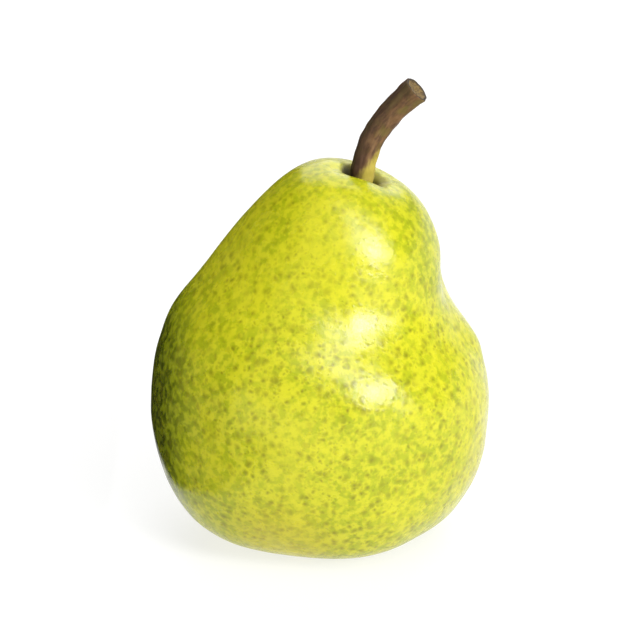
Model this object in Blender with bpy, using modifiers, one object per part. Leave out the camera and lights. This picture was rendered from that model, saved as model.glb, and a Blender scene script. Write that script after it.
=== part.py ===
"""A green dessert pear, standing upright on its calyx end.

Metres, +Z up. The origin lies on the surface that the pear stands on, under the middle of its outline.
The neck leans toward +X, and the stem leaves it upward and curves over to +X.
"""
from math import atan2, cos, exp, hypot, pi, radians, sin, tau

import bmesh
import bpy
from mathutils import Matrix, Vector

MM = 0.001

# The fruit
WIDTH = 70 * MM  # across the belly, left to right
DEPTH = 68 * MM  # across the belly, front to back
BODY_HEIGHT = 76.5 * MM  # from the foot to the top of the neck, along the core line
BELLY_HEIGHT = 29 * MM  # of the widest ring, where the neck's lean begins
NECK_SHIFT = 9.4 * MM  # how far the lean carries the top of the neck toward +X
NECK_CURVE = 1.75  # 1 for a neck that leans straight from the belly, more where it leans late
FOOT_SHIFT = 0.6 * MM  # how far the foot stands toward +X of the belly's middle
FOOT_LOBES = 5  # soft ridges of the calyx end, one for each sepal
FOOT_LOBE_DEPTH = 0.032  # as a share of the radius
FOOT_LOBE_TURN = radians(70)  # sets a lobe toward +X, and one a little right of the front
FRUIT_STEPS = 60  # facets around
# Soft rises and hollows of the neck: (direction from +X in degrees, height, reach, rise), in millimetres
SWELLINGS = ((0, 58.5, 6.0, -1.2), (0, 48.5, 5.5, 1.3), (180, 56.5, 7.0, 0.8), (180, 44.0, 6.0, 0.3))

# The stem
STEM_THICKNESS = 5.0 * MM  # of its middle
STEM_SOCKET_GAP = 0.35 * MM  # between the stem's foot and the floor of its cavity

# The dried flower in the basin
CUP_RADIUS = 2.9 * MM
CUP_HEIGHT = 1.5 * MM
CUP_WALL = 0.6 * MM
CUP_STEPS = 24  # facets around
FLOWER_GAP = 0.35 * MM  # between the dried flower's pieces, and above them to the fruit
SEPAL_COUNT = 5
SEPAL_LENGTH = 4.0 * MM
SEPAL_WIDTH = 3.0 * MM
SEPAL_THICKNESS = 0.4 * MM
SEPAL_FOOT = 0.5 * MM  # from the back of the cup to the foot of a sepal
SEPAL_CURL = 2.5 * MM  # how far a sepal's tip curls away from the basin
SEPAL_CUPPING = 0.8 * MM  # how far its long edges roll up
STAMEN_COUNT = 9
STAMEN_THICKNESS = 0.36 * MM
STAMEN_LENGTH = 2.0 * MM
STAMEN_SPLAY = radians(33)  # of the outer threads from upright
PAD_RADIUS = 1.15 * MM  # of the pad that the stamens rise from
PAD_HEIGHT = 0.4 * MM

# The turned body's outline, top to bottom: (share of half the width, share of the body's height)
STEM_CAVITY = ((0.0, 0.955), (0.098, 0.955), (0.116, 0.966), (0.134, 0.987))
SHOULDER = ((0.175, 1.001), (0.270, 0.994), (0.395, 0.958), (0.512, 0.892))
NECK = ((0.595, 0.818), (0.668, 0.738), (0.775, 0.657), (0.900, 0.575))
BELLY = ((0.978, 0.480), (1.000, 0.370), (0.975, 0.240), (0.900, 0.140), (0.770, 0.060))
FOOT = ((0.590, 0.012), (0.430, 0.0), (0.300, 0.0))
BASIN = ((0.240, 0.0125), (0.190, 0.0360), (0.120, 0.0600), (0.0, 0.0600))
OUTLINE = STEM_CAVITY + SHOULDER + NECK + BELLY + FOOT + BASIN
BASIN_DEPTH = BASIN[-1][1] * BODY_HEIGHT
SOCKET_HEIGHT = STEM_CAVITY[0][1] * BODY_HEIGHT
OUTLINE_STEPS = 2  # facets down the outline between two of its points

# The stem's centre line, from the socket up: (X, Y, height, thickness), in millimetres
STEM_LINE = (
    (-0.5, 0.0, 0.0, 4.7),
    (0.0, 0.0, 2.0, 5.0),
    (0.4, 0.0, 4.4, 5.1),
    (1.0, 0.1, 7.4, 5.0),
    (2.3, 0.3, 10.8, 5.1),
    (4.9, 0.2, 14.9, 5.2),
    (8.0, -0.3, 18.5, 5.4),
    (10.9, -1.0, 21.3, 6.0),
)
STEM_STEPS = 3  # rings between two points of its line


def material(name, colour, roughness, metallic=0.0):
    """A Principled material of one colour."""
    made = bpy.data.materials.new(name)
    made.use_nodes = True
    shader = made.node_tree.nodes["Principled BSDF"]
    shader.inputs["Base Color"].default_value = (*colour, 1.0)
    shader.inputs["Roughness"].default_value = roughness
    shader.inputs["Metallic"].default_value = metallic
    made.diffuse_color = (*colour, 1.0)
    return made


def add_object(name, data, collection, worn=None, parent=None):
    """An object in the collection, with its material and its parent."""
    made = bpy.data.objects.new(name, data)
    collection.objects.link(made)
    made.parent = parent
    if worn is not None and not data.materials:
        data.materials.append(worn)
    return made


def smooth_curve(points, steps):
    """Points along the Catmull-Rom curve through the given points, its ends included."""
    points = [Vector(p) for p in points]
    ends = [2 * points[0] - points[1], *points, 2 * points[-1] - points[-2]]
    curve = []
    for before, start, end, after in zip(ends, ends[1:], ends[2:], ends[3:]):
        for step in range(steps):
            t = step / steps
            bend = 2 * before - 5 * start + 4 * end - after
            swing = 3 * start - before - 3 * end + after
            curve.append(start + 0.5 * (t * (end - before) + t * t * bend + t**3 * swing))
    curve.append(points[-1])
    return curve


def turned(name, profile, steps):
    """A closed mesh: the profile, in (radius, height) pairs, turned about the Z axis."""
    mesh = bpy.data.meshes.new(name)
    places = [(radius, 0.0, height) for radius, height in profile]
    mesh.from_pydata(places, [(i, i + 1) for i in range(len(places) - 1)], [])
    shape = bpy.data.objects.new(name, mesh)
    bpy.context.scene.collection.objects.link(shape)
    screw = shape.modifiers.new("turned", "SCREW")
    screw.axis = "Z"
    screw.angle = tau
    screw.steps = steps
    screw.render_steps = steps
    screw.use_merge_vertices = True
    screw.merge_threshold = 0.00001
    result = as_mesh(shape)
    result.name = name
    return result


def as_mesh(shape):
    """The object's evaluated mesh, without the object."""
    bpy.context.view_layer.update()
    seen = shape.evaluated_get(bpy.context.evaluated_depsgraph_get())
    mesh = bpy.data.meshes.new_from_object(seen)
    bpy.data.objects.remove(shape)
    return mesh


def lean(height):
    """How far the core line has moved toward +X at a height, and its angle from upright."""
    if height < BELLY_HEIGHT:
        return FOOT_SHIFT * (1.0 - height / BELLY_HEIGHT) ** 2, 0.0
    reach = BODY_HEIGHT - BELLY_HEIGHT
    share = (height - BELLY_HEIGHT) / reach
    slope = NECK_CURVE * NECK_SHIFT * share ** (NECK_CURVE - 1.0) / reach
    return NECK_SHIFT * share**NECK_CURVE, atan2(slope, 1.0)


def swelling(radius, angle, height):
    """How far the soft rises and hollows move the skin outward at a place of the turned body."""
    rise = 0.0
    for direction, middle, reach, amount in SWELLINGS:
        turn = abs((angle - radians(direction) + pi) % tau - pi)
        apart = hypot(turn * radius, height - middle * MM) / (reach * MM)
        rise += amount * MM * exp(-apart * apart)
    return rise


def grown(place):
    """Where growth has moved a point of the turned body: swellings, lobed foot, leaning neck."""
    radius = hypot(place.x, place.y)
    angle = atan2(place.y, place.x)
    radius += swelling(radius, angle, place.z)
    foot = max(0.0, 1.0 - place.z / BELLY_HEIGHT) ** 2
    lobe = 1.0 + FOOT_LOBE_DEPTH * foot * cos(FOOT_LOBES * (angle + FOOT_LOBE_TURN))
    shift, tilt = lean(place.z)
    across = radius * lobe * cos(angle)
    along = radius * lobe * sin(angle) * DEPTH / WIDTH
    return Vector((shift + across * cos(tilt), along, place.z - across * sin(tilt)))


def add_fruit(collection, parent):
    """The whole fruit: one solid, with the stem cavity at its top and the calyx basin below."""
    half, tall = WIDTH / 2, BODY_HEIGHT
    outline = smooth_curve([(r * half, h * tall) for r, h in OUTLINE], OUTLINE_STEPS)
    profile = [(max(0.0, r), max(0.0, h)) for r, h in outline]
    mesh = turned("fruit", profile, FRUIT_STEPS)
    for corner in mesh.vertices:
        corner.co = grown(corner.co)
    mesh.shade_smooth()
    return add_object("fruit", mesh, collection, material("pear_skin", (0.46, 0.55, 0.05), 0.36), parent)


def add_stem(collection, parent):
    """The woody stem: a round tube along its line, thicker at the socket and at the cut end."""
    line = [Vector(point) * MM for point in smooth_curve(STEM_LINE, STEM_STEPS)]
    curve = bpy.data.curves.new("stem", "CURVE")
    curve.dimensions = "3D"
    curve.bevel_depth = STEM_THICKNESS / 2
    curve.bevel_resolution = 4
    curve.use_fill_caps = True
    spline = curve.splines.new("POLY")
    spline.points.add(len(line) - 1)
    for knot, (x, y, z, thick) in zip(spline.points, line):
        knot.co = (x, y, z, 1.0)
        knot.radius = thick / STEM_THICKNESS
    stem = add_object("stem", curve, collection, material("stem_bark", (0.13, 0.07, 0.035), 0.7), parent)
    shift, tilt = lean(SOCKET_HEIGHT)
    stem.location = (shift + STEM_SOCKET_GAP * sin(tilt), 0.0, SOCKET_HEIGHT + STEM_SOCKET_GAP * cos(tilt))


def add_calyx(collection, parent):
    """The cup of the dried flower: a low dish with a thin wall, open toward the surface below."""
    inner = CUP_RADIUS - CUP_WALL
    dish = (
        (0.0, CUP_WALL),
        (inner * 0.8, CUP_WALL),
        (inner, CUP_WALL * 1.6),
        (inner * 1.05, CUP_HEIGHT),
        (CUP_RADIUS, CUP_HEIGHT),
        (CUP_RADIUS * 0.95, CUP_HEIGHT / 2),
        (CUP_RADIUS * 0.8, 0.0),
        (0.0, 0.0),
    )
    mesh = turned("calyx", dish, CUP_STEPS)
    mesh.shade_smooth()
    add_object("calyx", mesh, collection, material("dried_calyx", (0.05, 0.032, 0.018), 0.8), parent)


def sepal_mesh():
    """One dried sepal, pointing to +X: broad where it joins the cup, curled at its tip."""
    mesh = bpy.data.meshes.new("sepal")
    blade = bmesh.new()
    bmesh.ops.create_grid(blade, x_segments=5, y_segments=3, size=0.5)
    for corner in blade.verts:
        along, across = corner.co.x + 0.5, 2 * corner.co.y
        breadth = SEPAL_WIDTH / 2 * (1.0 - 0.8 * along**2)
        rolled = SEPAL_CUPPING * across**2 * (1.0 - along)
        corner.co = (along * SEPAL_LENGTH, across * breadth, rolled + SEPAL_CURL * along**1.5)
    blade.to_mesh(mesh)
    blade.free()
    mesh.shade_smooth()
    return mesh


def add_sepals(collection, parent):
    """The dried sepals, spread around the cup."""
    mesh = sepal_mesh()
    dried = material("dried_sepal", (0.07, 0.045, 0.025), 0.8)
    reach = CUP_RADIUS + FLOWER_GAP
    for number in range(SEPAL_COUNT):
        turn = tau * number / SEPAL_COUNT
        sepal = add_object(f"sepal_{number + 1}", mesh, collection, dried, parent)
        sepal.location = (reach * cos(turn), reach * sin(turn), SEPAL_FOOT)
        sepal.rotation_euler = (0.0, 0.0, turn)
        blade = sepal.modifiers.new("thickness", "SOLIDIFY")
        blade.thickness = SEPAL_THICKNESS
        blade.offset = 1.0
        rounded = sepal.modifiers.new("rounded", "SUBSURF")
        rounded.levels = 1
        rounded.render_levels = 1


def cone(foot_radius, tip_radius, height, sides):
    """An upright cone with both ends closed, its foot on the origin."""
    shape = bmesh.new()
    bmesh.ops.create_cone(
        shape, cap_ends=True, segments=sides, radius1=foot_radius, radius2=tip_radius, depth=height
    )
    bmesh.ops.translate(shape, verts=shape.verts, vec=(0.0, 0.0, height / 2))
    return shape


def finished(shape, name):
    """The bmesh written to a mesh of that name."""
    mesh = bpy.data.meshes.new(name)
    shape.to_mesh(mesh)
    shape.free()
    return mesh


def add_stamens(collection, threads, parent):
    """The tuft of dried stamens, which rises from one small pad on the floor of the cup."""
    floor = CUP_WALL + FLOWER_GAP
    pad = cone(PAD_RADIUS, PAD_RADIUS * 0.8, PAD_HEIGHT, 16)
    bmesh.ops.translate(pad, verts=pad.verts, vec=(0.0, 0.0, floor))
    dried = material("dried_stamens", (0.05, 0.03, 0.02), 0.8)
    stamens = add_object("stamens", finished(pad, "stamens"), collection, dried, parent)
    for number in range(STAMEN_COUNT):
        ring = number % 3
        turn = tau * number / STAMEN_COUNT
        thread = cone(STAMEN_THICKNESS / 2, STAMEN_THICKNESS * 0.35, STAMEN_LENGTH * (0.8 + 0.1 * ring), 6)
        splay = Matrix.Rotation(STAMEN_SPLAY * (1 + ring) / 3, 4, "Y")
        root = Matrix.Translation((PAD_RADIUS * (0.3 + 0.2 * ring), 0.0, floor + PAD_HEIGHT / 4))
        bmesh.ops.transform(thread, matrix=Matrix.Rotation(turn, 4, "Z") @ root @ splay, verts=thread.verts)
        name = f"stamen_thread_{number + 1}"
        added = add_object(name, finished(thread, name), threads, parent=parent)
        added.hide_render = True
        added.display_type = "WIRE"
        joined = stamens.modifiers.new(f"thread_{number + 1}", "BOOLEAN")
        joined.operation = "UNION"
        joined.solver = "EXACT"
        joined.object = added


def new_collection(name):
    """A collection of that name in the scene."""
    made = bpy.data.collections.new(name)
    bpy.context.scene.collection.children.link(made)
    return made


def centre_outline(fruit, pear):
    """Moves the whole pear so that the middle of the fruit's outline stands over the origin."""
    bpy.context.view_layer.update()
    for axis in (0, 1):
        places = [corner.co[axis] for corner in fruit.data.vertices]
        pear.location[axis] = -(min(places) + max(places)) / 2


for old in list(bpy.data.objects):
    bpy.data.objects.remove(old)
pear_collection = new_collection("pear")
thread_collection = new_collection("stamen_threads")
pear = add_object("pear_origin", None, pear_collection)
flower = add_object("flower_centre", None, pear_collection, parent=pear)
flower.location = (lean(BASIN_DEPTH)[0], 0.0, BASIN_DEPTH - FLOWER_GAP)
flower.rotation_euler = (pi, 0.0, 0.0)
fruit = add_fruit(pear_collection, pear)
add_stem(pear_collection, pear)
add_calyx(pear_collection, flower)
add_sepals(pear_collection, flower)
add_stamens(pear_collection, thread_collection, flower)
centre_outline(fruit, pear)
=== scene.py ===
"""A green dessert pear as it stands on a table: the waxy dotted fruit, its woody stem, and the dried
flower underneath. Metres, +Z up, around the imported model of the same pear."""

from math import atan2, cos, exp, hypot, pi, radians, sin, tau

import bmesh
import bpy
from mathutils import Matrix, Vector, noise


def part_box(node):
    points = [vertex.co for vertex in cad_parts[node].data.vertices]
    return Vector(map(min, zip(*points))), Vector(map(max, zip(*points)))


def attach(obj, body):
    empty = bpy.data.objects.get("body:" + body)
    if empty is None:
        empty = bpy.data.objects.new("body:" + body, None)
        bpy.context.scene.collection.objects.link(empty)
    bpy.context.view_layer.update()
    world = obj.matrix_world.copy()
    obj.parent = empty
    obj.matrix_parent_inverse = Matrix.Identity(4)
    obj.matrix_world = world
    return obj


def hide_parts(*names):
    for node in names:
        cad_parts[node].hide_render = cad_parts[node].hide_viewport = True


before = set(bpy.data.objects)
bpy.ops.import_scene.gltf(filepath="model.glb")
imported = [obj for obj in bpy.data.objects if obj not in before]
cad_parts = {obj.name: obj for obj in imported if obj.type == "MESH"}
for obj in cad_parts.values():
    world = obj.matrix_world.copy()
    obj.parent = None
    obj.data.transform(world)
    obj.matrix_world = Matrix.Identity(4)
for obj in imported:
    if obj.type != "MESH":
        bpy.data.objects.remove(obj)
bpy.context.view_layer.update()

# ---------------------------------------------------------------------------------------------------------
# Fruit
# One piece that grew whole: firm flesh under a thin waxy skin, with a hollow around the stem at the top
# and a basin around the dried flower below. The neck leans to +X. Growth leaves it a little lumpy all over.

MM = 0.001
BODY_HEIGHT = 76.5 * MM  # along the core line, from the foot to the top of the neck
BELLY_HEIGHT = 29 * MM  # of the widest ring, where the lean begins
NECK_SHIFT = 9.4 * MM  # of the neck's top toward +X
NECK_CURVE = 1.75
FOOT_SHIFT = 0.6 * MM
FOOT_LOBES = 5
FOOT_LOBE_DEPTH = 0.032
FOOT_LOBE_TURN = radians(70)
RINGS_BETWEEN_POINTS = 9
STEPS_AROUND = 300
FLAT_FOOT_HEIGHT = 6 * MM  # lumps fade out below it, because the foot it stands on is flat
CAVITY_DEPTH = 4 * MM  # how far below its floor's middle the folds of the stem cavity still reach

# The outline of the turned body: (share of half the width, share of the body's height), top to bottom
STEM_CAVITY = ((0.0, 0.955), (0.098, 0.955), (0.116, 0.966), (0.134, 0.987))
SHOULDER = ((0.175, 1.001), (0.270, 0.994), (0.395, 0.958), (0.512, 0.892))
NECK = ((0.595, 0.818), (0.668, 0.738), (0.775, 0.657), (0.900, 0.575))
BELLY = ((0.978, 0.480), (1.000, 0.370), (0.975, 0.240), (0.900, 0.140), (0.770, 0.060))
FOOT = ((0.590, 0.012), (0.430, 0.0), (0.300, 0.0))
BASIN = ((0.240, 0.0125), (0.190, 0.0360), (0.120, 0.0600), (0.0, 0.0600))

# Soft rises and hollows: (direction from +X in degrees, height, reach, rise) in millimetres. The first
# four give the neck its outline, and the rest keep the sides from looking turned on a lathe.
SWELLINGS = (
    (0, 58.5, 6.0, -1.2),
    (0, 48.5, 5.5, 1.3),
    (180, 56.5, 7.0, 0.8),
    (180, 44.0, 6.0, 0.3),
    (-75, 55.0, 7.0, -0.5),
    (-58, 66.0, 6.0, 0.35),
    (-30, 20.0, 10.0, 0.4),
    (-125, 16.0, 10.0, 0.4),
    (60, 50.0, 9.0, -0.6),
    (110, 62.0, 8.0, 0.5),
    (140, 30.0, 12.0, 0.5),
    (75, 22.0, 10.0, -0.4),
)
# Folds of the stem cavity's lip: (direction from +X and half the width in degrees, rise in millimetres)
CAVITY_FOLDS = (
    (-42, 14, -0.45),
    (-14, 16, 0.3),
    (-85, 26, 0.2),
    (-150, 24, -0.3),
    (160, 30, 0.3),
    (80, 25, -0.3),
)
CAVITY_FOLD_RADIUS = 5.0 * MM
CAVITY_FOLD_REACH = 2.4 * MM
# Where the lip has closed in on the stem: direction and half its width in degrees, and its ring
LIP_DIRECTION = -15
LIP_WIDTH = 75
LIP_RADIUS = 4.6 * MM
LIP_REACH = 1.9 * MM
LIP_CLOSING = 1.15 * MM
LIP_RISE = 0.7 * MM
# Lumpiness of the skin: (size of a lump, height of a lump)
LUMPS = ((24 * MM, 0.50 * MM), (9 * MM, 0.22 * MM), (4.2 * MM, 0.075 * MM), (1.8 * MM, 0.016 * MM))


def smooth_curve(points, steps):
    """Points along the Catmull-Rom curve through the given points, its ends included."""
    points = [Vector(point) for point in points]
    ends = [2 * points[0] - points[1], *points, 2 * points[-1] - points[-2]]
    curve = []
    for before, start, end, after in zip(ends, ends[1:], ends[2:], ends[3:]):
        for step in range(steps):
            t = step / steps
            bend = 2 * before - 5 * start + 4 * end - after
            swing = 3 * start - before - 3 * end + after
            curve.append(start + 0.5 * (t * (end - before) + t * t * bend + t**3 * swing))
    curve.append(points[-1])
    return curve


def turned(profile, steps):
    """A closed body: the profile, in (radius, height) pairs, spun about the Z axis, its poles merged."""
    shape = bmesh.new()
    rings = [shape.verts.new((radius, 0.0, height)) for radius, height in profile]
    edges = [shape.edges.new(pair) for pair in zip(rings, rings[1:])]
    bmesh.ops.spin(
        shape,
        geom=rings + edges,
        cent=(0, 0, 0),
        axis=(0, 0, 1),
        dvec=(0, 0, 0),
        angle=tau,
        steps=steps,
        use_merge=True,
        use_duplicate=False,
    )
    bmesh.ops.remove_doubles(shape, verts=shape.verts, dist=0.000001)
    bmesh.ops.recalc_face_normals(shape, faces=shape.faces)
    return shape


def lean(height):
    """How far the core line has moved toward +X at a height, and its angle from upright."""
    if height < BELLY_HEIGHT:
        return FOOT_SHIFT * (1.0 - height / BELLY_HEIGHT) ** 2, 0.0
    reach = BODY_HEIGHT - BELLY_HEIGHT
    share = (height - BELLY_HEIGHT) / reach
    slope = NECK_CURVE * NECK_SHIFT * share ** (NECK_CURVE - 1.0) / reach
    return NECK_SHIFT * share**NECK_CURVE, atan2(slope, 1.0)


def turn_between(angle, degrees):
    """The angle between a direction and another one in degrees from +X, without sign."""
    return abs((angle - radians(degrees) + pi) % tau - pi)


def swelling(radius, angle, height):
    """How far the soft rises and hollows move the skin outward at a place of the turned body."""
    rise = 0.0
    for direction, middle, reach, amount in SWELLINGS:
        apart = hypot(turn_between(angle, direction) * radius, height - middle * MM) / (reach * MM)
        rise += amount * MM * exp(-apart * apart)
    return rise


def grown(place, depth_share):
    """Where growth has moved a point of the turned body: swellings, lobed foot, leaning neck."""
    radius = hypot(place.x, place.y)
    angle = atan2(place.y, place.x)
    radius += swelling(radius, angle, place.z)
    foot = max(0.0, 1.0 - place.z / BELLY_HEIGHT) ** 2
    lobe = 1.0 + FOOT_LOBE_DEPTH * foot * cos(FOOT_LOBES * (angle + FOOT_LOBE_TURN))
    shift, tilt = lean(place.z)
    across = radius * lobe * cos(angle)
    along = radius * lobe * sin(angle) * depth_share
    return Vector((shift + across * cos(tilt), along, place.z - across * sin(tilt)))


def lump(place, cavity):
    """How far the skin stands out by its lumps and by the folds of the cavity's lip."""
    rise = 0.0
    for size, height in LUMPS:
        rise += height * noise.noise(place / size)
    away = place - cavity
    if away.z > -CAVITY_DEPTH:
        radius = hypot(away.x, away.y)
        ring = exp(-(((radius - CAVITY_FOLD_RADIUS) / CAVITY_FOLD_REACH) ** 2))
        for direction, width, amount in CAVITY_FOLDS:
            apart = turn_between(atan2(away.y, away.x), direction) / radians(width)
            rise += amount * MM * ring * exp(-apart * apart)
    return rise


def fit_to_box(shape, low, high):
    """Stretches the shape a hair so that it fills the box from low to high exactly."""
    places = [corner.co for corner in shape.verts]
    seen_low = Vector(min(place[axis] for place in places) for axis in range(3))
    seen_high = Vector(max(place[axis] for place in places) for axis in range(3))
    for corner in shape.verts:
        for axis in range(3):
            share = (corner.co[axis] - seen_low[axis]) / (seen_high[axis] - seen_low[axis])
            corner.co[axis] = low[axis] + share * (high[axis] - low[axis])


def finished_piece(shape, name, material, replaced):
    """Makes the bmesh an object that rides on the pear's one body and stands for the CAD node named."""
    mesh = bpy.data.meshes.new(name)
    shape.to_mesh(mesh)
    shape.free()
    mesh.materials.append(material)
    mesh.shade_smooth()
    piece = bpy.data.objects.new(name, mesh)
    bpy.context.scene.collection.objects.link(piece)
    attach(piece, "root")
    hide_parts(replaced)
    return piece


def linear(hex_colour):
    """An sRGB colour in hex as linear red, green and blue, with an alpha of 1."""
    shares = [int(hex_colour[i : i + 2], 16) / 255 for i in (1, 3, 5)]
    return (*(s / 12.92 if s <= 0.04045 else ((s + 0.055) / 1.055) ** 2.4 for s in shares), 1.0)


def new_material(name):
    """An empty node material and its Principled shader."""
    made = bpy.data.materials.new(name)
    made.use_nodes = True
    return made, made.node_tree, made.node_tree.nodes["Principled BSDF"]


def node(tree, kind, inputs=None, **settings):
    """Adds a shader node. Settings are its properties; inputs are values, or the nodes that feed it."""
    made = tree.nodes.new("ShaderNode" + kind)
    for name, value in settings.items():
        setattr(made, name, value)
    for socket, value in (inputs or {}).items():
        if isinstance(value, bpy.types.Node):
            value = next(output for output in value.outputs if output.enabled)
        if isinstance(value, bpy.types.NodeSocket):
            tree.links.new(value, made.inputs[socket])
        else:
            made.inputs[socket].default_value = value
    return made


fruit_low, fruit_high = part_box("fruit")
half_width = (fruit_high.x - fruit_low.x) / 2
depth_share = (fruit_high.y - fruit_low.y) / (fruit_high.x - fruit_low.x)
outline = STEM_CAVITY + SHOULDER + NECK + BELLY + FOOT + BASIN
outline = [(share * half_width, up * BODY_HEIGHT, 0.0) for share, up in outline]
profile = smooth_curve(outline, RINGS_BETWEEN_POINTS)
cavity_floor = STEM_CAVITY[0][1] * BODY_HEIGHT
cavity_centre = Vector((lean(cavity_floor)[0], 0.0, cavity_floor))
basin_centre = Vector((lean(0.0)[0], 0.0, BASIN[-1][1] * BODY_HEIGHT))
skin_shape = turned([(max(0.0, ring.x), max(0.0, ring.y)) for ring in profile], STEPS_AROUND)
for corner in skin_shape.verts:
    corner.co = grown(corner.co, depth_share)
skin_shape.normal_update()
outward = [corner.normal.copy() for corner in skin_shape.verts]
for corner, normal in zip(skin_shape.verts, outward):
    firm = min(1.0, corner.co.z / FLAT_FOOT_HEIGHT)
    corner.co += normal * lump(corner.co, cavity_centre) * firm
    corner.co.z = max(0.0, corner.co.z)
    away = corner.co - cavity_centre
    if away.z > -CAVITY_DEPTH:  # the lip has closed in on the stem
        off_lip = (away.xy.length - LIP_RADIUS) / LIP_REACH
        turned_away = turn_between(atan2(away.y, away.x), LIP_DIRECTION) / radians(LIP_WIDTH)
        pull = exp(-(off_lip**2) - turned_away**2)
        corner.co.xy -= LIP_CLOSING * pull * away.xy.normalized()
        corner.co.z += LIP_RISE * pull
fit_to_box(skin_shape, fruit_low, fruit_high)

# Pear skin: a thin cuticle of wax over green cells that yellow as the fruit ripens, first where the sun
# fell. It is smooth and half glossy, lets a little light into the flesh, and is dotted with breathing
# pores, each a small corky speck in a darker green ring. Rough brown cork, called russet, has grown in the
# two hollows.
PATCH_SIZE = 13 * MM
MOTTLE_SIZE = 1.6 * MM
PORE_CROWD_SIZE = 11 * MM
LARGE_PORE_SPACING = 1.75 * MM
SMALL_PORE_SPACING = 1.05 * MM
PORE_STRAY = 0.9 * MM  # how far the bent pattern moves them
PORE_STRAY_SIZE = 1.3 * MM
CORK_PATCH_SIZE = 2.6 * MM
WAX_PATCH_SIZE = 5 * MM
SKIN_GRAIN = 1.0 * MM  # the real cells are finer, and this is as fine as shows
LIGHT_DEPTH = 2.2 * MM  # how far light wanders in the flesh
skin, tree, shader = new_material("ripening_pear_skin")
# From ripe to unripe, the darkest greens also painted shade on the -X side: (share of greenness, colour)
RIPENESS = (
    (0.0, "#C4C11E"),
    (0.22, "#B9B91A"),
    (0.42, "#A1A810"),
    (0.62, "#858E06"),
    (0.82, "#5C6602"),
    (1.0, "#3A4202"),
)
PORE_GREEN = linear("#7C7A08")
PORE_CORK = linear("#6A5E20")
RUSSET = linear("#857A42")
CAVITY_PAINTED_SHADOW = linear("#3E3A12")
BLUSH = linear("#C4A81C")
RUBBED = linear("#C0AE72")
place = node(tree, "TexCoord").outputs["Object"]
along = node(tree, "SeparateXYZ", {0: place})

# Greenness adds up from cloudy patches, fine mottles, a green cheek of the neck and the -X side, which is
# partly unripe green and partly painted shade, darkest toward -X. The front of the neck is the ripest.
patches = node(
    tree,
    "TexNoise",
    {"Vector": place, "Scale": 1 / PATCH_SIZE, "Detail": 3.0, "Roughness": 0.6},
)
patch_share = node(
    tree,
    "MapRange",
    {0: patches.outputs["Fac"], 1: 0.34, 2: 0.68, 3: 0.0, 4: 0.16},
    interpolation_type="SMOOTHSTEP",
)
mottles = node(
    tree,
    "TexNoise",
    {"Vector": place, "Scale": 1 / MOTTLE_SIZE, "Detail": 2.5, "Roughness": 0.6},
)
mottle_share = node(
    tree,
    "MapRange",
    {0: mottles.outputs["Fac"], 1: 0.38, 2: 0.62, 3: 0.0, 4: 0.30},
    interpolation_type="SMOOTHSTEP",
)
# Painted shade on the -X side, mixed with its real unripe green
unripe_and_shade_edge = node(
    tree,
    "Math",
    {0: patches.outputs["Fac"], 1: 16 * MM, 2: along.outputs["X"]},
    operation="MULTIPLY_ADD",
)
unripe_and_shaded_side = node(
    tree,
    "MapRange",
    {0: unripe_and_shade_edge, 1: -14 * MM, 2: -28.5 * MM, 3: 0.0, 4: 0.78},
    interpolation_type="SMOOTHSTEP",
)
cheek_apart = node(tree, "VectorMath", {0: place, 1: (22 * MM, -8 * MM, 63 * MM)}, operation="DISTANCE")
cheek_share = node(
    tree,
    "MapRange",
    {0: cheek_apart.outputs["Value"], 1: 17 * MM, 2: 4 * MM, 3: 0.0, 4: 0.15},
    interpolation_type="SMOOTHSTEP",
)
ripe_apart = node(tree, "VectorMath", {0: place, 1: (6 * MM, -17 * MM, 64 * MM)}, operation="DISTANCE")
ripe_share = node(
    tree,
    "MapRange",
    {0: ripe_apart.outputs["Value"], 1: 17 * MM, 2: 6 * MM, 3: 0.0, 4: -0.12},
    interpolation_type="SMOOTHSTEP",
)
clouds = node(tree, "Math", {0: patch_share, 1: mottle_share}, operation="ADD")
sides = node(tree, "Math", {0: unripe_and_shaded_side, 1: cheek_share}, operation="ADD")
green_and_shade = node(tree, "Math", {0: clouds, 1: sides}, operation="ADD")
green_and_shade = node(tree, "Math", {0: green_and_shade, 1: ripe_share}, operation="ADD", use_clamp=True)
ground = node(tree, "ValToRGB", {0: green_and_shade})
for share, colour in RIPENESS[1:-1]:
    ground.color_ramp.elements.new(share).color = linear(colour)
ground.color_ramp.elements[0].color = linear(RIPENESS[0][1])
ground.color_ramp.elements[-1].color = linear(RIPENESS[-1][1])

# Pores, large and small. They crowd in some places and thin out on the neck. They don't sit on a net, so
# the pattern they come from is bent.
bent = node(tree, "TexNoise", {"Vector": place, "Scale": 1 / PORE_STRAY_SIZE, "Detail": 0.0})
bend = node(tree, "VectorMath", {0: bent.outputs["Color"], 1: (0.5, 0.5, 0.5)}, operation="SUBTRACT")
bend = node(tree, "VectorMath", {0: bend, 3: PORE_STRAY}, operation="SCALE")
bent_place = node(tree, "VectorMath", {0: place, 1: bend}, operation="ADD")
crowds = node(tree, "TexNoise", {"Vector": place, "Scale": 1 / PORE_CROWD_SIZE, "Detail": 2.0})
crowd_share = node(
    tree,
    "MapRange",
    {0: crowds.outputs["Fac"], 1: 0.30, 2: 0.60, 3: 0.5, 4: 1.0},
    interpolation_type="SMOOTHSTEP",
)
neck_share = node(
    tree,
    "MapRange",
    {0: along.outputs["Z"], 1: 46 * MM, 2: 70 * MM, 3: 1.0, 4: 0.65},
    interpolation_type="SMOOTHSTEP",
)
pore_share = node(tree, "Math", {0: crowd_share, 1: neck_share}, operation="MULTIPLY")
large_pores = node(tree, "TexVoronoi", {"Vector": bent_place, "Scale": 1 / LARGE_PORE_SPACING})
large_kind = node(tree, "SeparateColor", {0: large_pores.outputs["Color"]})
large_edge = node(tree, "MapRange", {0: large_kind.outputs[0], 3: 0.34, 4: 0.78})
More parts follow.
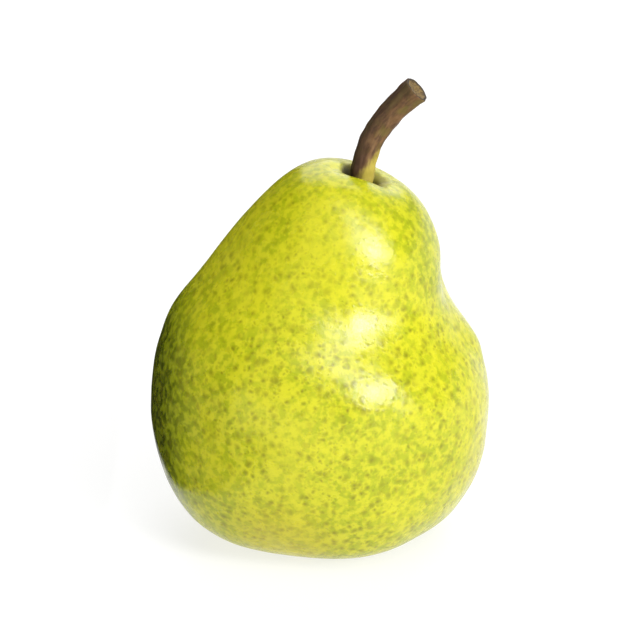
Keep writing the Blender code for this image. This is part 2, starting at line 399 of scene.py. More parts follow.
large_ring = node(
    tree,
    "MapRange",
    {0: large_pores.outputs["Distance"], 1: large_edge, 2: 0.02, 3: 0.0, 4: 0.80},
    interpolation_type="SMOOTHSTEP",
)
small_pores = node(tree, "TexVoronoi", {"Vector": bent_place, "Scale": 1 / SMALL_PORE_SPACING})
small_kind = node(tree, "SeparateColor", {0: small_pores.outputs["Color"]})
small_edge = node(tree, "MapRange", {0: small_kind.outputs[0], 3: 0.25, 4: 0.60})
small_ring = node(
    tree,
    "MapRange",
    {0: small_pores.outputs["Distance"], 1: small_edge, 2: 0.08, 3: 0.0, 4: 0.50},
    interpolation_type="SMOOTHSTEP",
)
rings = node(tree, "Math", {0: large_ring, 1: small_ring}, operation="MAXIMUM")
ring_share = node(tree, "Math", {0: rings, 1: pore_share}, operation="MULTIPLY")
speck = node(
    tree,
    "MapRange",
    {0: large_pores.outputs["Distance"], 1: 0.14, 2: 0.05, 3: 0.0, 4: 1.0},
    interpolation_type="SMOOTHSTEP",
)
speck_share = node(tree, "Math", {0: speck, 1: 0.22}, operation="MULTIPLY")
dotted = node(tree, "Mix", {0: ring_share, 6: ground, 7: PORE_GREEN}, data_type="RGBA")
dotted = node(tree, "Mix", {0: speck_share, 6: dotted, 7: PORE_CORK}, data_type="RGBA")

# A faint warm blush low on the front
blush_apart = node(tree, "VectorMath", {0: place, 1: (-7 * MM, -27 * MM, 9 * MM)}, operation="DISTANCE")
blush_share = node(
    tree,
    "MapRange",
    {0: blush_apart.outputs["Value"], 1: 15 * MM, 2: 4 * MM, 3: 0.0, 4: 0.22},
    interpolation_type="SMOOTHSTEP",
)
blushed = node(tree, "Mix", {0: blush_share, 6: dotted, 7: BLUSH}, data_type="RGBA")
# A place on the +X side where it rubbed against its neighbours and paled
rub_apart = node(tree, "VectorMath", {0: place, 1: (34 * MM, -8 * MM, 21 * MM)}, operation="DISTANCE")
rub_share = node(
    tree,
    "MapRange",
    {0: rub_apart.outputs["Value"], 1: 14 * MM, 2: 3 * MM, 3: 0.0, 4: 0.6},
    interpolation_type="SMOOTHSTEP",
)
rub_share = node(tree, "Math", {0: rub_share, 1: patch_share}, operation="MULTIPLY")
rub_share = node(tree, "Math", {0: rub_share, 1: 6.0}, operation="MULTIPLY")  # patches stay under 0.16
blushed = node(tree, "Mix", {0: rub_share, 6: blushed, 7: RUBBED}, data_type="RGBA")

# Russet in ragged patches around both hollows, and painted shadow deep in the stem's socket
from_cavity = node(tree, "VectorMath", {0: place, 1: cavity_centre}, operation="DISTANCE")
from_basin = node(tree, "VectorMath", {0: place, 1: basin_centre}, operation="DISTANCE")
near_cavity = node(
    tree,
    "MapRange",
    {0: from_cavity.outputs["Value"], 1: 9.5 * MM, 2: 3.5 * MM},
    interpolation_type="SMOOTHSTEP",
)
near_basin = node(
    tree,
    "MapRange",
    {0: from_basin.outputs["Value"], 1: 14 * MM, 2: 6 * MM},
    interpolation_type="SMOOTHSTEP",
)
near_hollow = node(tree, "Math", {0: near_cavity, 1: near_basin}, operation="MAXIMUM")
cork = node(
    tree,
    "TexNoise",
    {"Vector": place, "Scale": 1 / CORK_PATCH_SIZE, "Detail": 6.0, "Roughness": 0.7},
)
cork_edge = node(tree, "Math", {0: near_hollow, 1: cork.outputs["Fac"]}, operation="ADD")
corked = node(
    tree,
    "MapRange",
    {0: cork_edge, 1: 0.92, 2: 1.30},
    interpolation_type="SMOOTHSTEP",
)
corked_share = node(tree, "Math", {0: corked, 1: 0.72}, operation="MULTIPLY")
coloured = node(tree, "Mix", {0: corked_share, 6: blushed, 7: RUSSET}, data_type="RGBA")
# Painted shadow in the socket, centred a little to the -X side of the stem
deepest = cavity_centre + Vector((-1.4 * MM, 0.0, 0.5 * MM))
from_deepest = node(tree, "VectorMath", {0: place, 1: deepest}, operation="DISTANCE")
socket_shadow_share = node(
    tree,
    "MapRange",
    {0: from_deepest.outputs["Value"], 1: 6.2 * MM, 2: 4.2 * MM, 3: 0.0, 4: 0.85},
    interpolation_type="SMOOTHSTEP",
)
coloured = node(tree, "Mix", {0: socket_shadow_share, 6: coloured, 7: CAVITY_PAINTED_SHADOW}, data_type="RGBA")
tree.links.new(coloured.outputs[2], shader.inputs["Base Color"])

# Wax lies thicker and thinner, the grain of the cells shows through it, and pores and cork stand out of it
wax = node(tree, "TexNoise", {"Vector": place, "Scale": 1 / WAX_PATCH_SIZE, "Detail": 4.0})
wax_roughness = node(tree, "MapRange", {0: wax.outputs["Fac"], 1: 0.3, 2: 0.7, 3: 0.19, 4: 0.34})
rough = node(tree, "Math", {0: corked, 1: 0.30, 2: wax_roughness}, operation="MULTIPLY_ADD")
tree.links.new(rough.outputs[0], shader.inputs["Roughness"])
grain = node(tree, "TexNoise", {"Vector": place, "Scale": 1 / SKIN_GRAIN, "Detail": 3.0})
bump = node(tree, "Bump", {"Height": grain.outputs["Fac"], "Distance": 0.07 * MM, "Strength": 0.6})
bump = node(tree, "Bump", {"Height": rings, "Distance": 0.05 * MM, "Strength": 0.5, "Normal": bump})
cork_height = node(tree, "Math", {0: corked, 1: cork.outputs["Fac"]}, operation="MULTIPLY")
bump = node(tree, "Bump", {"Height": cork_height, "Distance": 0.25 * MM, "Strength": 0.7, "Normal": bump})
tree.links.new(bump.outputs[0], shader.inputs["Normal"])
shader.inputs["IOR"].default_value = 1.45
shader.inputs["Subsurface Weight"].default_value = 0.12
shader.inputs["Subsurface Radius"].default_value = (1.0, 0.9, 0.2)
shader.inputs["Subsurface Scale"].default_value = LIGHT_DEPTH
finished_piece(skin_shape, "pear_skin", skin, "fruit")

# ---------------------------------------------------------------------------------------------------------
# Stem
# The woody stalk that hung the fruit on its spur: bark over fibre, fleshy where it leaves the fruit,
# ribbed along its length as it dries, and thicker at the end where it broke from the tree.

# Its centre line from the socket up: (X, Y, height, thickness), in millimetres
STEM_LINE = (
    (-0.5, 0.0, 0.0, 4.7),
    (0.0, 0.0, 2.0, 5.0),
    (0.4, 0.0, 4.4, 5.1),
    (1.0, 0.1, 7.4, 5.0),
    (2.3, 0.3, 10.8, 5.1),
    (4.9, 0.2, 14.9, 5.2),
    (8.0, -0.3, 18.5, 5.4),
    (10.9, -1.0, 21.3, 6.0),
)
STEM_SIDES = 60
STEM_RINGS_BETWEEN = 15
BARK_RIBS = 7
BARK_RIB_HEIGHT = 0.12 * MM
BARK_WRINKLE = 0.16 * MM
BARK_CREASE_LENGTH = 2.4 * MM
# The broken end's rings, from the bark inward: (share of the radius, rise past the end in mm, how woody)
STEM_END = (
    (0.985, 0.10, 0.0),
    (0.93, 0.20, 0.25),
    (0.86, 0.16, 0.7),
    (0.78, -0.05, 0.9),
    (0.66, -0.26, 1.0),
    (0.50, -0.30, 1.0),
    (0.34, -0.20, 1.0),
    (0.20, -0.34, 1.0),
    (0.08, -0.42, 1.0),
)
STEM_END_ROUGHNESS = 0.22 * MM


def stem_ring(shape, knot, ahead, length, share, rise, wood, wooden):
    """One ring of the stem around its line. Angle 0 faces +X, and the ring is squared to the line."""
    ahead = ahead.normalized()
    side = Vector((0.0, 1.0, 0.0)).cross(ahead).normalized()
    turn = Matrix((side, ahead.cross(side), ahead)).transposed().to_4x4()
    put = Matrix.Translation(knot.xyz + ahead * rise * MM) @ turn
    ring = bmesh.ops.create_circle(shape, segments=STEM_SIDES, radius=1.0)["verts"]
    for corner in ring:
        angle = atan2(corner.co.y, corner.co.x)
        straight = Vector((cos(angle), sin(angle), length / BARK_CREASE_LENGTH))
        wander = 2.0 * noise.noise(straight * Vector((1, 1, 0.2)))
        rib = BARK_RIB_HEIGHT * sin(BARK_RIBS * angle + wander)
        wrinkle = BARK_WRINKLE * noise.noise(straight * 1.3)
        fine = BARK_WRINKLE * 0.4 * noise.noise(straight * Vector((4, 4, 0.9)))
        radius = (knot.w / 2 - BARK_RIB_HEIGHT + rib * 0.7 + wrinkle + fine) * share
        inside = Vector((cos(angle) * share, sin(angle) * share, 0.0))
        torn = STEM_END_ROUGHNESS * noise.noise(inside * 4) * wood
        corner[wooden] = Vector((wood, inside.x, inside.y))
        corner[bark_place] = Vector((cos(angle), sin(angle), length / MM))
        corner.co = put @ Vector((cos(angle) * radius, sin(angle) * radius, torn))
    return list(dict.fromkeys(edge for corner in ring for edge in corner.link_edges))


stem_line = [Vector(point) * MM for point in smooth_curve(STEM_LINE, STEM_RINGS_BETWEEN)]
stem_shape = bmesh.new()
bark_place = stem_shape.verts.layers.float_vector.new("bark_place")
broken_end = stem_shape.verts.layers.float_vector.new("broken_end")
length = 0.0
last_edges = []
for number, knot in enumerate(stem_line):
    ahead = stem_line[min(number + 1, len(stem_line) - 1)].xyz - stem_line[max(number - 1, 0)].xyz
    if number:
        length += (knot.xyz - stem_line[number - 1].xyz).length
    ring_edges = stem_ring(stem_shape, knot, ahead, length, 1.0, 0.0, 0.0, broken_end)
    if last_edges:
        bmesh.ops.bridge_loops(stem_shape, edges=last_edges + ring_edges)
    else:
        bmesh.ops.edgeloop_fill(stem_shape, edges=ring_edges)
    last_edges = ring_edges
for share, rise, wood in STEM_END:
    ring_edges = stem_ring(stem_shape, stem_line[-1], ahead, length, share, rise, wood, broken_end)
    bmesh.ops.bridge_loops(stem_shape, edges=last_edges + ring_edges)
    last_edges = ring_edges
bmesh.ops.edgeloop_fill(stem_shape, edges=last_edges)
bmesh.ops.recalc_face_normals(stem_shape, faces=stem_shape.faces)
fit_to_box(stem_shape, *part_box("stem"))

# Bark of a fruit stalk: thin brown skin over wood, matt and finely wrinkled lengthwise, in drifts of
# purple brown, olive and tan. The flesh of the fruit runs a little way up its foot, most of all on the +X
# side. The broken end shows paler fibre inside a dark rim.
bark, tree, shader = new_material("pear_stalk_bark")
BARK_BROWN = linear("#6E4E2E")
BARK_DARK = linear("#4C331E")
BARK_PURPLE = linear("#45281C")
BARK_SHADED = linear("#38261A")
BARK_OLIVE = linear("#665822")
BARK_TAN = linear("#836440")
STALK_FLESH = linear("#B4A440")
BROKEN_WOOD = linear("#7E683C")
BROKEN_FIBRE = linear("#4C3A22")
BROKEN_RIM = linear("#2A2014")
place = node(tree, "Attribute", attribute_name="bark_place").outputs["Vector"]
round_about = node(tree, "SeparateXYZ", {0: place})
lengthwise = node(tree, "VectorMath", {0: place, 1: (3.0, 3.0, 0.35)}, operation="MULTIPLY")
streaks = node(tree, "TexNoise", {"Vector": lengthwise, "Scale": 1.0, "Detail": 4.0, "Roughness": 0.6})
streak_share = node(
    tree,
    "MapRange",
    {0: streaks.outputs["Fac"], 1: 0.36, 2: 0.64},
    interpolation_type="SMOOTHSTEP",
)
bark_ground = node(tree, "Mix", {0: streak_share, 6: BARK_DARK, 7: BARK_BROWN}, data_type="RGBA")
drift_place = node(tree, "VectorMath", {0: place, 1: (0.9, 0.9, 0.24)}, operation="MULTIPLY")
drifts = node(tree, "TexNoise", {"Vector": drift_place, "Scale": 1.0, "Detail": 2.0})
olive_share = node(
    tree,
    "MapRange",
    {0: drifts.outputs["Fac"], 1: 0.46, 2: 0.66, 3: 0.0, 4: 0.65},
    interpolation_type="SMOOTHSTEP",
)
tan_share = node(
    tree,
    "MapRange",
    {0: drifts.outputs["Fac"], 1: 0.50, 2: 0.34, 3: 0.0, 4: 0.60},
    interpolation_type="SMOOTHSTEP",
)
barked = node(tree, "Mix", {0: olive_share, 6: bark_ground, 7: BARK_OLIVE}, data_type="RGBA")
barked = node(tree, "Mix", {0: tan_share, 6: barked, 7: BARK_TAN}, data_type="RGBA")
purple_low = node(
    tree,
    "MapRange",
    {0: round_about.outputs["Z"], 1: 12.0, 2: 6.0, 3: 0.0, 4: 0.7},
    interpolation_type="SMOOTHSTEP",
)
purple_side = node(
    tree,
    "MapRange",
    {0: round_about.outputs["X"], 1: 0.35, 2: -0.5},
    interpolation_type="SMOOTHSTEP",
)
purple_share = node(tree, "Math", {0: purple_low, 1: purple_side}, operation="MULTIPLY")
barked = node(tree, "Mix", {0: purple_share, 6: barked, 7: BARK_PURPLE}, data_type="RGBA")
# Painted shade down the -X side of the stalk
painted_shade_side_share = node(
    tree,
    "MapRange",
    {0: round_about.outputs["X"], 1: 0.15, 2: -0.9, 3: 0.0, 4: 0.6},
    interpolation_type="SMOOTHSTEP",
)
barked = node(tree, "Mix", {0: painted_shade_side_share, 6: barked, 7: BARK_SHADED}, data_type="RGBA")
# Painted shade along the +X edge of the stalk
painted_shade_edge_share = node(
    tree,
    "MapRange",
    {0: round_about.outputs["X"], 1: 0.72, 2: 1.0, 3: 0.0, 4: 0.6},
    interpolation_type="SMOOTHSTEP",
)
barked = node(tree, "Mix", {0: painted_shade_edge_share, 6: barked, 7: BARK_DARK}, data_type="RGBA")
flesh_edge = node(tree, "Math", {0: round_about.outputs["X"], 1: 4.8}, operation="MULTIPLY")
flesh_edge = node(
    tree,
    "Math",
    {0: streaks.outputs["Fac"], 1: 7.0, 2: flesh_edge},
    operation="MULTIPLY_ADD",
)
flesh_edge = node(tree, "Math", {0: flesh_edge, 1: round_about.outputs["Z"]}, operation="SUBTRACT")
flesh_share = node(
    tree,
    "MapRange",
    {0: flesh_edge, 1: -3.4, 2: 0.4, 3: 0.0, 4: 0.85},
    interpolation_type="SMOOTHSTEP",
)
fleshy = node(tree, "Mix", {0: flesh_share, 6: barked, 7: STALK_FLESH}, data_type="RGBA")
end_place = node(tree, "Attribute", attribute_name="broken_end").outputs["Vector"]
end_parts = node(tree, "SeparateXYZ", {0: end_place})
fibres = node(tree, "TexNoise", {"Vector": end_place, "Scale": 7.0, "Detail": 3.0})
fibre_share = node(
    tree,
    "MapRange",
    {0: fibres.outputs["Fac"], 1: 0.42, 2: 0.62},
    interpolation_type="SMOOTHSTEP",
)
end_wood = node(tree, "Mix", {0: fibre_share, 6: BROKEN_WOOD, 7: BROKEN_FIBRE}, data_type="RGBA")
rim_share = node(
    tree,
    "MapRange",
    {0: end_parts.outputs["X"], 1: 0.0, 2: 0.2},
    interpolation_type="SMOOTHSTEP",
)
rimmed = node(tree, "Mix", {0: rim_share, 6: fleshy, 7: BROKEN_RIM}, data_type="RGBA")
wood_share = node(
    tree,
    "MapRange",
    {0: end_parts.outputs["X"], 1: 0.66, 2: 1.0},
    interpolation_type="SMOOTHSTEP",
)
ended = node(tree, "Mix", {0: wood_share, 6: rimmed, 7: end_wood}, data_type="RGBA")
tree.links.new(ended.outputs[2], shader.inputs["Base Color"])
bark_roughness = node(tree, "MapRange", {0: streaks.outputs["Fac"], 1: 0.3, 2: 0.7, 3: 0.72, 4: 0.55})
tree.links.new(bark_roughness.outputs[0], shader.inputs["Roughness"])
bump = node(tree, "Bump", {"Height": streaks, "Distance": 0.16 * MM, "Strength": 0.8})
bump = node(tree, "Bump", {"Height": fibres, "Distance": 0.12 * MM, "Strength": 0.6, "Normal": bump})
tree.links.new(bump.outputs[0], shader.inputs["Normal"])
shader.inputs["IOR"].default_value = 1.4
finished_piece(stem_shape, "stem_bark", bark, "stem")

# ---------------------------------------------------------------------------------------------------------
# Calyx cup
# What is left of the flower, in the middle of the basin: a low cup of dried tissue that opens downward.
# Its wall has shrunk into folds, and its rim is wavy and chipped.

CUP_STEPS = 96
CUP_RINGS_BETWEEN = 6
CUP_FOLDS = 10
CUP_WRINKLE = 0.12 * MM
CUP_CRUMPLE_SIZE = 0.5 * MM
# Its outline: (share of the radius, share of the depth), from the inner floor over the rim to the back
CUP_FLOOR = ((0.0, 0.42), (0.35, 0.40), (0.62, 0.42), (0.76, 0.62))
CUP_RIM = ((0.84, 0.95), (0.92, 1.0), (0.985, 0.93))
CUP_BACK = ((0.97, 0.60), (0.90, 0.25), (0.70, 0.03), (0.35, 0.0), (0.0, 0.0))
cup_low, cup_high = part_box("calyx")
cup_middle = (cup_low + cup_high) / 2
cup_radius = (cup_high.x - cup_low.x) / 2
cup_depth = cup_high.z - cup_low.z
cup_outline = CUP_FLOOR + CUP_RIM + CUP_BACK
cup_outline = [(share * cup_radius, up * cup_depth, 0.0) for share, up in cup_outline]
cup_profile = smooth_curve(cup_outline, CUP_RINGS_BETWEEN)
cup_shape = turned([(max(0.0, ring.x), ring.y) for ring in cup_profile], CUP_STEPS)
for corner in cup_shape.verts:
    radius = hypot(corner.co.x, corner.co.y)
    angle = atan2(corner.co.y, corner.co.x)
    rim = (radius / cup_radius) ** 3
    fold = sin(CUP_FOLDS * angle + 3.0 * noise.noise(Vector((cos(angle), sin(angle), 0.4)) * 1.5))
    crumple = noise.noise(corner.co / CUP_CRUMPLE_SIZE)
    squeeze = 1.0 - 0.05 * rim * (1.0 + fold) + 0.03 * rim * crumple
    corner.co.x *= squeeze
    corner.co.y *= squeeze
    corner.co.z += CUP_WRINKLE * (fold * rim + crumple * 0.8)
bmesh.ops.transform(cup_shape, matrix=Matrix.Rotation(pi, 4, "X"), verts=cup_shape.verts)
bmesh.ops.translate(cup_shape, vec=(cup_middle.x, cup_middle.y, cup_high.z), verts=cup_shape.verts)
fit_to_box(cup_shape, cup_low, cup_high)

# Dried flower tissue: thin dead cell walls, matt, brittle and finely creased, dark brown with paler
# stains.
cup_tissue, tree, shader = new_material("dried_calyx_tissue")
CUP_BROWN = linear("#4A3620")
CUP_DARK = linear("#241A10")
CUP_PALE = linear("#7A6238")
place = node(tree, "TexCoord").outputs["Object"]
creases = node(
    tree,
    "TexNoise",
    {"Vector": place, "Scale": 1 / (0.45 * MM), "Detail": 5.0, "Roughness": 0.65},
)
crease_share = node(
    tree,
    "MapRange",
    {0: creases.outputs["Fac"], 1: 0.36, 2: 0.62},
    interpolation_type="SMOOTHSTEP",
)
cup_ground = node(tree, "Mix", {0: crease_share, 6: CUP_DARK, 7: CUP_BROWN}, data_type="RGBA")
stains = node(tree, "TexNoise", {"Vector": place, "Scale": 1 / (1.6 * MM), "Detail": 3.0})
stain_share = node(
    tree,
    "MapRange",
    {0: stains.outputs["Fac"], 1: 0.48, 2: 0.68, 3: 0.0, 4: 0.7},
    interpolation_type="SMOOTHSTEP",
)
stained = node(tree, "Mix", {0: stain_share, 6: cup_ground, 7: CUP_PALE}, data_type="RGBA")
tree.links.new(stained.outputs[2], shader.inputs["Base Color"])
cup_roughness = node(tree, "MapRange", {0: stains.outputs["Fac"], 1: 0.3, 2: 0.7, 3: 0.9, 4: 0.7})
tree.links.new(cup_roughness.outputs[0], shader.inputs["Roughness"])
bump = node(tree, "Bump", {"Height": creases, "Distance": 0.08 * MM, "Strength": 0.8})
tree.links.new(bump.outputs[0], shader.inputs["Normal"])
shader.inputs["IOR"].default_value = 1.4
finished_piece(cup_shape, "calyx_cup", cup_tissue, "calyx")

# ---------------------------------------------------------------------------------------------------------
# Sepals
# Five pointed green leaflets that closed over the flower bud. They have dried to brown leathery scraps
# around the cup, each curled along its length and bent at the tip in its own way.

SEPAL_LENGTH = 4.0 * MM
SEPAL_WIDTH = 3.0 * MM
SEPAL_CURL = 2.3 * MM
SEPAL_CUPPING = 0.8 * MM
SEPAL_RUCK = 0.28 * MM
SEPAL_THICKNESS = 0.26 * MM
SEPAL_SEGMENTS = (22, 15)
FLOWER_GAP = 0.35 * MM

# Dried leaf tissue: thicker than the cup's, dull and leathery, veined lengthwise, tan where it is worn.
sepal_tissue, tree, shader = new_material("dried_sepal_tissue")
SEPAL_BROWN = linear("#6B4E2C")
SEPAL_DARK = linear("#33241A")
SEPAL_TAN = linear("#9A7E4C")
place = node(tree, "TexCoord").outputs["Object"]
leaf_place = node(tree, "Attribute", attribute_name="leaf_place").outputs["Vector"]
vein_place = node(tree, "VectorMath", {0: leaf_place, 1: (1.2, 9.0, 1.0)}, operation="MULTIPLY")
veins = node(tree, "TexNoise", {"Vector": vein_place, "Scale": 1.0, "Detail": 3.0, "Distortion": 0.4})
vein_share = node(
    tree,
    "MapRange",
    {0: veins.outputs["Fac"], 1: 0.38, 2: 0.6},
    interpolation_type="SMOOTHSTEP",
)
leaf_ground = node(tree, "Mix", {0: vein_share, 6: SEPAL_DARK, 7: SEPAL_BROWN}, data_type="RGBA")
scuffs = node(
    tree,
    "TexNoise",
    {"Vector": place, "Scale": 1 / (0.8 * MM), "Detail": 4.0, "Roughness": 0.6},
)
scuff_share = node(
    tree,
    "MapRange",
    {0: scuffs.outputs["Fac"], 1: 0.5, 2: 0.68, 3: 0.0, 4: 0.75},
    interpolation_type="SMOOTHSTEP",
)
scuffed = node(tree, "Mix", {0: scuff_share, 6: leaf_ground, 7: SEPAL_TAN}, data_type="RGBA")
tree.links.new(scuffed.outputs[2], shader.inputs["Base Color"])
leaf_roughness = node(tree, "MapRange", {0: scuffs.outputs["Fac"], 1: 0.3, 2: 0.7, 3: 0.62, 4: 0.82})
tree.links.new(leaf_roughness.outputs[0], shader.inputs["Roughness"])
bump = node(tree, "Bump", {"Height": veins, "Distance": 0.07 * MM, "Strength": 0.7})
bump = node(tree, "Bump", {"Height": scuffs, "Distance": 0.05 * MM, "Strength": 0.6, "Normal": bump})
tree.links.new(bump.outputs[0], shader.inputs["Normal"])
shader.inputs["IOR"].default_value = 1.4

for number in range(1, 6):
    node_name = f"sepal_{number}"
    sepal_low, sepal_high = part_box(node_name)
    turn = tau * (number - 1) / 5
    sepal_shape = bmesh.new()
    leaf_layer = sepal_shape.verts.layers.float_vector.new("leaf_place")
    bmesh.ops.create_grid(
        sepal_shape, x_segments=SEPAL_SEGMENTS[0], y_segments=SEPAL_SEGMENTS[1], size=0.5
    )
    for corner in sepal_shape.verts:
        out, across = corner.co.x + 0.5, 2 * corner.co.y
        seed = Vector((out * 2.0, across * 1.2, 7.3 * number))
        ragged = 1.0 + 0.14 * noise.noise(Vector((out * 5.0, across * 0.8, 3.1 * number)))
        breadth = SEPAL_WIDTH / 2 * (1.0 - 0.82 * out**1.8) * ragged
        twist = 0.35 * noise.noise(Vector((out * 1.5, 0.0, 5.7 * number))) * out
        rolled = SEPAL_CUPPING * across**2 * (1.0 - 0.6 * out) + breadth * across * twist
        ruck = SEPAL_RUCK * noise.noise(seed) + SEPAL_RUCK * 0.4 * noise.noise(seed * 3.1)
        corner[leaf_layer] = Vector((out * 4.0, across * 1.5, 9.0 * number))
        corner.co = (out * SEPAL_LENGTH, across * breadth, rolled + SEPAL_CURL * out**1.5 + ruck)
    bmesh.ops.recalc_face_normals(sepal_shape, faces=sepal_shape.faces)
    bmesh.ops.solidify(sepal_shape, geom=sepal_shape.faces[:], thickness=SEPAL_THICKNESS)
    bmesh.ops.recalc_face_normals(sepal_shape, faces=sepal_shape.faces)
    bmesh.ops.translate(sepal_shape, vec=(cup_radius + FLOWER_GAP, 0.0, 0.0), verts=sepal_shape.verts)
    bmesh.ops.transform(
        sepal_shape,
        matrix=Matrix.Rotation(pi, 4, "X") @ Matrix.Rotation(turn, 4, "Z"),
        verts=sepal_shape.verts,
    )
    fit_to_box(sepal_shape, sepal_low, sepal_high)
    sepal = finished_piece(sepal_shape, f"{node_name}_scrap", sepal_tissue, node_name)
    rounded = sepal.modifiers.new("rounded", "SUBSURF")
    rounded.levels = 1
    rounded.render_levels = 1

# ---------------------------------------------------------------------------------------------------------
# Stamens
# A tuft of dried threads on one small pad in the floor of the cup. Some still carry the shrivelled bead
# that held the pollen.

STAMEN_COUNT = 16
STAMEN_SIDES = 8
STAMEN_RINGS = 9
STAMEN_THICKNESS = 0.17 * MM
STAMEN_BEAD = 0.20 * MM
BEAD_WRINKLE_SIZE = 0.18 * MM
THREAD_WOBBLE = 0.28 * MM
PAD_RADIUS = 1.1 * MM
PAD_HEIGHT = 0.4 * MM
PAD_ROUNDING = 0.06 * MM
tuft_low, tuft_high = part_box("stamens")
tuft_height = tuft_high.z - tuft_low.z
tuft_shape = bmesh.new()
bmesh.ops.create_cone(
    tuft_shape,
    cap_ends=True,
    segments=40,
    radius1=PAD_RADIUS,
    radius2=PAD_RADIUS * 0.75,
    depth=PAD_HEIGHT,
)
bmesh.ops.translate(tuft_shape, vec=(0.0, 0.0, PAD_HEIGHT / 2), verts=tuft_shape.verts)
bmesh.ops.bevel(
    tuft_shape,
    geom=tuft_shape.edges[:],
    offset=PAD_ROUNDING,
    segments=2,
    profile=0.5,
    affect="EDGES",
    material=-1,
)
for number in range(STAMEN_COUNT):
    turn = 2.4 * number  # the golden angle, by which such threads stand around a flower
    spread = (number + 0.5) / STAMEN_COUNT
    foot = Vector((cos(turn), sin(turn), 0.0)) * PAD_RADIUS * 0.7 * spread**0.5
    outward_lean = 0.25 + 0.75 * spread
    height_share = 0.78 + 0.2 * noise.noise(Vector((number * 1.7, 0.3, 0.0)))
    last_edges = []
    for ring_number in range(STAMEN_RINGS):
        share = ring_number / (STAMEN_RINGS - 1)
        sway_x = noise.noise(Vector((share * 2, number, 0.0)))
        sway_y = noise.noise(Vector((share * 2, number, 5.0)))
        wobble = Vector((sway_x, sway_y, 0.0)) * THREAD_WOBBLE * share
        up = PAD_HEIGHT * 0.7 + share * (tuft_height * height_share - PAD_HEIGHT * 0.7)
        centre = foot * (1.0 + outward_lean * share) + wobble + Vector((0.0, 0.0, up))
        thick = STAMEN_THICKNESS / 2 * (1.15 - 0.45 * share)
        made = bmesh.ops.create_circle(
            tuft_shape, segments=STAMEN_SIDES, radius=thick, matrix=Matrix.Translation(centre)
        )
        ring_edges = list(dict.fromkeys(edge for corner in made["verts"] for edge in corner.link_edges))
        if last_edges:
            bmesh.ops.bridge_loops(tuft_shape, edges=last_edges + ring_edges)
        else:
            bmesh.ops.edgeloop_fill(tuft_shape, edges=ring_edges)
        last_edges = ring_edges
    bmesh.ops.edgeloop_fill(tuft_shape, edges=last_edges)
    if number % 3:
        bead = bmesh.ops.create_icosphere(
            tuft_shape, subdivisions=2, radius=STAMEN_BEAD, matrix=Matrix.Translation(centre)
        )["verts"]
        for corner in bead:
            shrivel = noise.noise(corner.co / BEAD_WRINKLE_SIZE + Vector((number, 0, 0)))
            corner.co += (corner.co - centre) * 0.45 * shrivel
bmesh.ops.recalc_face_normals(tuft_shape, faces=tuft_shape.faces)
bmesh.ops.transform(tuft_shape, matrix=Matrix.Rotation(pi, 4, "X"), verts=tuft_shape.verts)
bmesh.ops.translate(tuft_shape, vec=(cup_middle.x, cup_middle.y, tuft_high.z), verts=tuft_shape.verts)

# Dried threads: the same dead tissue, nearly black at the foot and rust brown at the beads.
threads, tree, shader = new_material("dried_stamen_threads")
THREAD_DARK = linear("#22170F")
THREAD_RUST = linear("#6A4526")
place = node(tree, "TexCoord").outputs["Object"]
along = node(tree, "SeparateXYZ", {0: place})
rust_share = node(
    tree,
    "MapRange",
    {0: along.outputs["Z"], 1: tuft_high.z - PAD_HEIGHT, 2: tuft_low.z, 3: 0.0, 4: 0.8},
    interpolation_type="SMOOTHSTEP",
)
dust = node(tree, "TexNoise", {"Vector": place, "Scale": 1 / (0.22 * MM), "Detail": 3.0})
dust_share = node(tree, "Math", {0: rust_share, 1: dust.outputs["Fac"]}, operation="MULTIPLY")
thread_colour = node(tree, "Mix", {0: dust_share, 6: THREAD_DARK, 7: THREAD_RUST}, data_type="RGBA")
tree.links.new(thread_colour.outputs[2], shader.inputs["Base Color"])
thread_roughness = node(tree, "MapRange", {0: dust.outputs["Fac"], 1: 0.3, 2: 0.7, 3: 0.65, 4: 0.9})
tree.links.new(thread_roughness.outputs[0], shader.inputs["Roughness"])
bump = node(tree, "Bump", {"Height": dust, "Distance": 0.04 * MM, "Strength": 0.6})
tree.links.new(bump.outputs[0], shader.inputs["Normal"])
finished_piece(tuft_shape, "stamen_tuft", threads, "stamens")

# ---------------------------------------------------------------------------------------------------------
# Table, light and camera
# A wide white table, with white all around. The light comes from a tall lamp to the right of the camera,
# with a weak fill from the left, a lamp above and a large one behind.

LOOK_DOWN = radians(20)
CAMERA_DISTANCE = 0.62
CAMERA_AIM_HEIGHT = 0.0455
CAMERA_LENS = 170
FILM_WIDTH = 36
TABLE_HALF_SIDE = 30.0
TABLE_TOP = -0.0001  # a hair under the foot, so that the two never fight for the same place
TABLE_GLOW = 0.74  # it is lit from below, which softens the shadow
table_mesh = bpy.data.meshes.new("table_top")
table_shape = bmesh.new()
bmesh.ops.create_grid(table_shape, x_segments=1, y_segments=1, size=TABLE_HALF_SIDE)
bmesh.ops.translate(table_shape, vec=(0.0, 0.0, TABLE_TOP), verts=table_shape.verts)
table_shape.to_mesh(table_mesh)
table_shape.free()
table = bpy.data.objects.new("table_top", table_mesh)
bpy.context.scene.collection.objects.link(table)
white, tree, shader = new_material("white_table")
shader.inputs["Base Color"].default_value = linear("#8C8C8C")
shader.inputs["Roughness"].default_value = 0.7
shader.inputs["Emission Color"].default_value = (1.0, 1.0, 1.0, 1.0)
shader.inputs["Emission Strength"].default_value = TABLE_GLOW
table_mesh.materials.append(white)

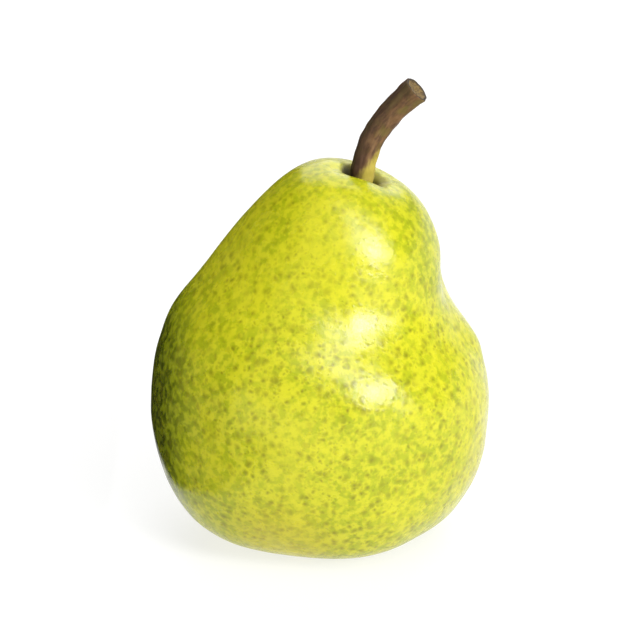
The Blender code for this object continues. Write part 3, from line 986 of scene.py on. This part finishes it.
world = bpy.data.worlds.new("white_studio")
bpy.context.scene.world = world
world.use_nodes = True
sky = world.node_tree
toward = node(sky, "SeparateXYZ", {0: node(sky, "TexCoord").outputs["Generated"]})
horizon = node(
    sky,
    "MapRange",
    {0: toward.outputs["Z"], 1: 0.05, 2: 0.2, 3: 1.0, 4: 0.0},
    interpolation_type="SMOOTHSTEP",
)
walls = node(
    sky,
    "MapRange",
    {0: toward.outputs["X"], 1: -0.7, 2: 0.5, 3: 0.20, 4: 0.28},
    interpolation_type="SMOOTHSTEP",
)
glow = node(sky, "Mix", {0: horizon, 2: walls, 3: 1.0}, data_type="FLOAT")
sky.links.new(glow.outputs[0], sky.nodes["Background"].inputs["Strength"])
sky.nodes["Background"].inputs["Color"].default_value = (1.0, 1.0, 1.0, 1.0)


def lamp(name, azimuth, elevation, spread, strength):
    """A far soft lamp on the pear, its azimuth measured from the camera to the right."""
    light = bpy.data.lights.new(name, "SUN")
    light.angle = radians(spread)
    light.energy = strength
    made = bpy.data.objects.new(name, light)
    across, up = radians(azimuth), radians(elevation)
    out = Vector((sin(across) * cos(up), -cos(across) * cos(up), sin(up)))
    made.rotation_euler = out.to_track_quat("Z", "Y").to_euler()
    bpy.context.scene.collection.objects.link(made)


# A tall narrow lamp, made of four round ones that overlap
lamp("key_foot", 47, 22, 20, 1.2)
lamp("key_lower", 42, 31, 20, 1.2)
lamp("key_upper", 31, 45, 24, 0.6)
lamp("key_head", 21, 58, 28, 0.55)
lamp("fill_lamp", -32, 32, 90, 0.45)
lamp("top_lamp", 12, 74, 30, 0.25)
lamp("back_lamp", 172, 42, 60, 1.5)

# A black flag to the left of the pear, flat on the table and up along its far side. Only reflections see
# it, and it keeps that side of the skin deep green.
FLAG_NEAR = -0.045
FLAG_FAR = -0.16
FLAG_LENGTH = 1.2
FLAG_MIDDLE = 0.48
FLAG_HEIGHT = 0.3
FLAG_LIFT = 0.001
flag_shape = bmesh.new()
lying = bmesh.ops.create_grid(flag_shape, x_segments=1, y_segments=1, size=0.5)["verts"]
bmesh.ops.scale(flag_shape, vec=(FLAG_NEAR - FLAG_FAR, FLAG_LENGTH, 1.0), verts=lying)
bmesh.ops.translate(flag_shape, vec=((FLAG_NEAR + FLAG_FAR) / 2, FLAG_MIDDLE, FLAG_LIFT), verts=lying)
far_edge = min(flag_shape.edges, key=lambda edge: edge.verts[0].co.x + edge.verts[1].co.x)
standing = bmesh.ops.extrude_edge_only(flag_shape, edges=[far_edge])["geom"]
raised = [part for part in standing if isinstance(part, bmesh.types.BMVert)]
bmesh.ops.translate(flag_shape, vec=(0.0, 0.0, FLAG_HEIGHT), verts=raised)
flag_mesh = bpy.data.meshes.new("black_flag")
flag_shape.to_mesh(flag_mesh)
flag_shape.free()
flag = bpy.data.objects.new("black_flag", flag_mesh)
bpy.context.scene.collection.objects.link(flag)
black, tree, shader = new_material("black_cloth")
shader.inputs["Base Color"].default_value = linear("#101208")
shader.inputs["Roughness"].default_value = 1.0
shader.inputs["Specular IOR Level"].default_value = 0.0
flag_mesh.materials.append(black)
flag.visible_camera = False
flag.visible_diffuse = False
flag.visible_transmission = False
flag.visible_shadow = False

camera_data = bpy.data.cameras.new("camera")
camera = bpy.data.objects.new("camera", camera_data)
bpy.context.scene.collection.objects.link(camera)
back = Vector((0.0, -cos(LOOK_DOWN), sin(LOOK_DOWN)))
aim = Vector((0.0, 0.0, CAMERA_AIM_HEIGHT))
camera.location = aim + back * CAMERA_DISTANCE
camera.rotation_euler = back.to_track_quat("Z", "Y").to_euler()
camera_data.lens = CAMERA_LENS
camera_data.sensor_width = FILM_WIDTH
bpy.context.scene.camera = camera
bpy.context.scene.view_settings.view_transform = "Standard"
